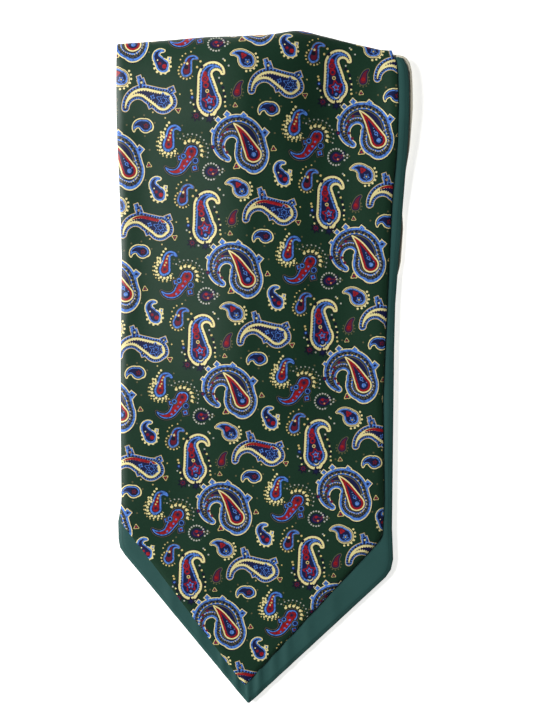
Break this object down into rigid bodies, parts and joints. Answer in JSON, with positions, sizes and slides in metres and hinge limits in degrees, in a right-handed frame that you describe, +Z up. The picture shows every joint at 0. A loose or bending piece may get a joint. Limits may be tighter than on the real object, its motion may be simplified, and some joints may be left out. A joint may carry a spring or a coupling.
{
  "type": "silk cravat",
  "caption": "Silk cravat folded in half and laid flat: pointed printed front blade over a pointed back blade whose plain lining shows as a border, rolled over at the fold.",
  "frame": {"origin": "middle of the base of the folded cravat's box, on the surface that it lies on", "axes": "+Y from the blades' points to the fold, +X to the right seen from above with the points towards the viewer, +Z up"},
  "size_m": [0.1616, 0.373, 0.0161],
  "materials": {
    "printed_silk": "soft sheen silk twill, dark green with a small paisley repeat in blue, cream, gold, red and navy",
    "lining_silk": "plain teal silk with a soft sheen",
    "interlining_cloth": "matt natural cream cloth",
    "layered_silk": "the printed silk's other side and edges, soft sheen"
  },
  "bodies": {
    "root": {"front_blade": "printed_silk", "back_lining": "lining_silk", "interlining_edge": "interlining_cloth", "folded_layers": "layered_silk"}
  },
  "joints": []
}
